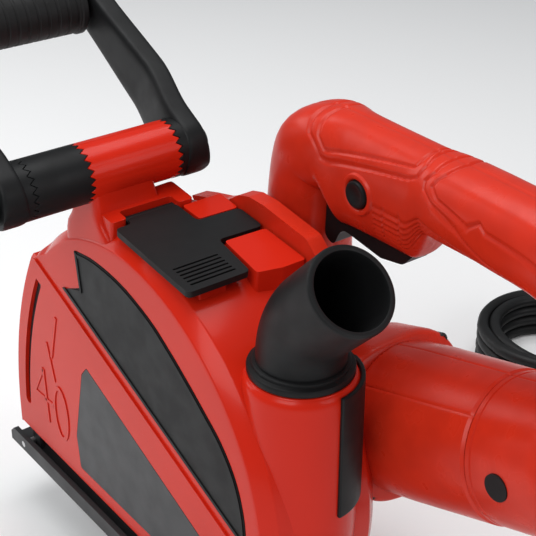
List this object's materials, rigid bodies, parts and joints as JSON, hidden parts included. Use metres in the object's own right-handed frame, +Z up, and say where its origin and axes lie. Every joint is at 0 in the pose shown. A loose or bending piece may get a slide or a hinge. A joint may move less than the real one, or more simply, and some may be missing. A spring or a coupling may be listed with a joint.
{
  "type": "wall chaser",
  "caption": "Twin-disc wall chaser with a drum guard, hinged depth sole, front bow handle, rear D-handle, swivelling dust elbow and a coiled mains cord.",
  "frame": {"origin": "under the middle of the machine, on the level of the discs' lowest point, which is where the cord lies", "axes": "+X towards the front, the way the machine cuts; +Y to the left, away from the motor; +Z up"},
  "size_m": [0.457, 0.515, 0.3267],
  "materials": {
    "guard_paint": "gloss",
    "red_plastic": "satin",
    "black_plastic": "satin",
    "grip_rubber": "matte",
    "badge_grey": "satin",
    "zinc_steel": "satin",
    "dark_steel": "satin",
    "disc_steel": "satin",
    "cast_alloy": "cast",
    "bearing_steel": "polished",
    "winding": "varnished",
    "copper": "turned",
    "brass": "satin",
    "cord_rubber": "matte"
  },
  "bodies": {
    "machine": {"guard_casting": "guard_paint", "side_cover": "guard_paint", "crescent_insert": "black_plastic", "badge_plate": "badge_grey", "cover_screws": "dark_steel", "lever_pin": "zinc_steel", "handle_bracket": "guard_paint", "bracket_screws": "dark_steel", "spindle_bearings": "bearing_steel", "gear_cover": "cast_alloy", "gear_housing": "red_plastic", "bearing_plate": "cast_alloy", "motor_bearings": "bearing_steel", "stator": "disc_steel", "brush_holders": "brass", "brush_caps": "black_plastic", "motor_housing": "red_plastic", "rear_cap": "red_plastic", "housing_screws": "dark_steel", "grip_left": "red_plastic", "grip_right": "red_plastic", "grip_screws": "dark_steel", "switch_body": "black_plastic", "speed_module": "black_plastic", "trigger_pin": "zinc_steel", "outlet_strip": "black_plastic", "strain_relief": "cord_rubber", "cord_tube": "cord_rubber", "cord_coil": "cord_rubber", "plug": "cord_rubber"},
    "sole": {"sole_plate": "dark_steel", "pivot_pin": "zinc_steel", "depth_blade": "dark_steel", "roller_axles": "zinc_steel"},
    "front_wheel": {"front_roller": "black_plastic"},
    "rear_wheel": {"rear_roller": "black_plastic"},
    "spindle": {"spindle_shaft": "bearing_steel", "disc_left": "disc_steel", "disc_right": "disc_steel", "disc_spacer": "zinc_steel", "inner_flange": "zinc_steel", "clamp_nut": "dark_steel", "bevel_gear": "bearing_steel"},
    "armature": {"armature_shaft": "bearing_steel", "armature_core": "winding", "commutator": "copper", "cooling_fan": "black_plastic", "pinion": "bearing_steel"},
    "latch": {"latch_lever": "black_plastic"},
    "bow": {"bow_handle": "black_plastic", "front_grip": "grip_rubber", "spacer_sleeve": "grip_rubber", "bow_bolt": "zinc_steel", "bow_knob": "black_plastic"},
    "elbow": {"dust_elbow": "black_plastic"},
    "switch_trigger": {"trigger": "black_plastic"},
    "switch_lock": {"lock_button": "black_plastic"},
    "shaft_lock": {"spindle_lock": "black_plastic"}
  },
  "joints": [
    {"name": "sole_pivot", "type": "hinge", "parent": "machine", "child": "sole", "pos_m": [-0.05683, 0.0075, 0.059], "axis": [0, 1, 0], "range_deg": [0, 22]},
    {"name": "front_roller_spin", "type": "hinge", "parent": "sole", "child": "front_wheel", "pos_m": [0.18117, 0.0075, 0.0445], "axis": [0, 1, 0], "continuous": true},
    {"name": "rear_roller_spin", "type": "hinge", "parent": "sole", "child": "rear_wheel", "pos_m": [-0.07283, 0.0075, 0.0445], "axis": [0, 1, 0], "continuous": true},
    {"name": "spindle_spin", "type": "hinge", "parent": "machine", "child": "spindle", "pos_m": [0.05517, 0.0075, 0.115], "axis": [0, 1, 0], "continuous": true},
    {"name": "armature_spin", "type": "hinge", "parent": "machine", "child": "armature", "pos_m": [0.05517, -0.0625, 0.115], "axis": [-0.9511, 0, 0.309], "continuous": true},
    {"name": "latch_hinge", "type": "hinge", "parent": "machine", "child": "latch", "pos_m": [0.07117, 0.0075, 0.2374], "axis": [0, 1, 0], "range_deg": [0, 70]},
    {"name": "bow_clamp", "type": "hinge", "parent": "machine", "child": "bow", "pos_m": [0.09047, 0.0075, 0.2607], "axis": [0, 1, 0], "range_deg": [-60, 45]},
    {"name": "elbow_swivel", "type": "hinge", "parent": "machine", "child": "elbow", "pos_m": [-0.04383, 0.0075, 0.207], "axis": [0, 0, 1], "range_deg": [-90, 20]},
    {"name": "trigger_pivot", "type": "hinge", "parent": "machine", "child": "switch_trigger", "pos_m": [0.01117, -0.0625, 0.261], "axis": [0, 1, 0], "range_deg": [0, 6], "stiffness_Nm_per_rad": 1.5, "springref_deg": -5.73},
    {"name": "lock_push", "type": "slide", "parent": "machine", "child": "switch_lock", "axis": [0, -1, 0], "range_m": [0, 0.003], "stiffness_N_per_m": 400, "springref_m": -0.001},
    {"name": "spindle_lock_push", "type": "slide", "parent": "machine", "child": "shaft_lock", "axis": [-1, 0, 0], "range_m": [0, 0.0035], "stiffness_N_per_m": 500, "springref_m": -0.001}
  ],
  "couplings": [
    {"joint": "armature_spin", "follows": "spindle_spin", "ratio": -3.15}
  ]
}
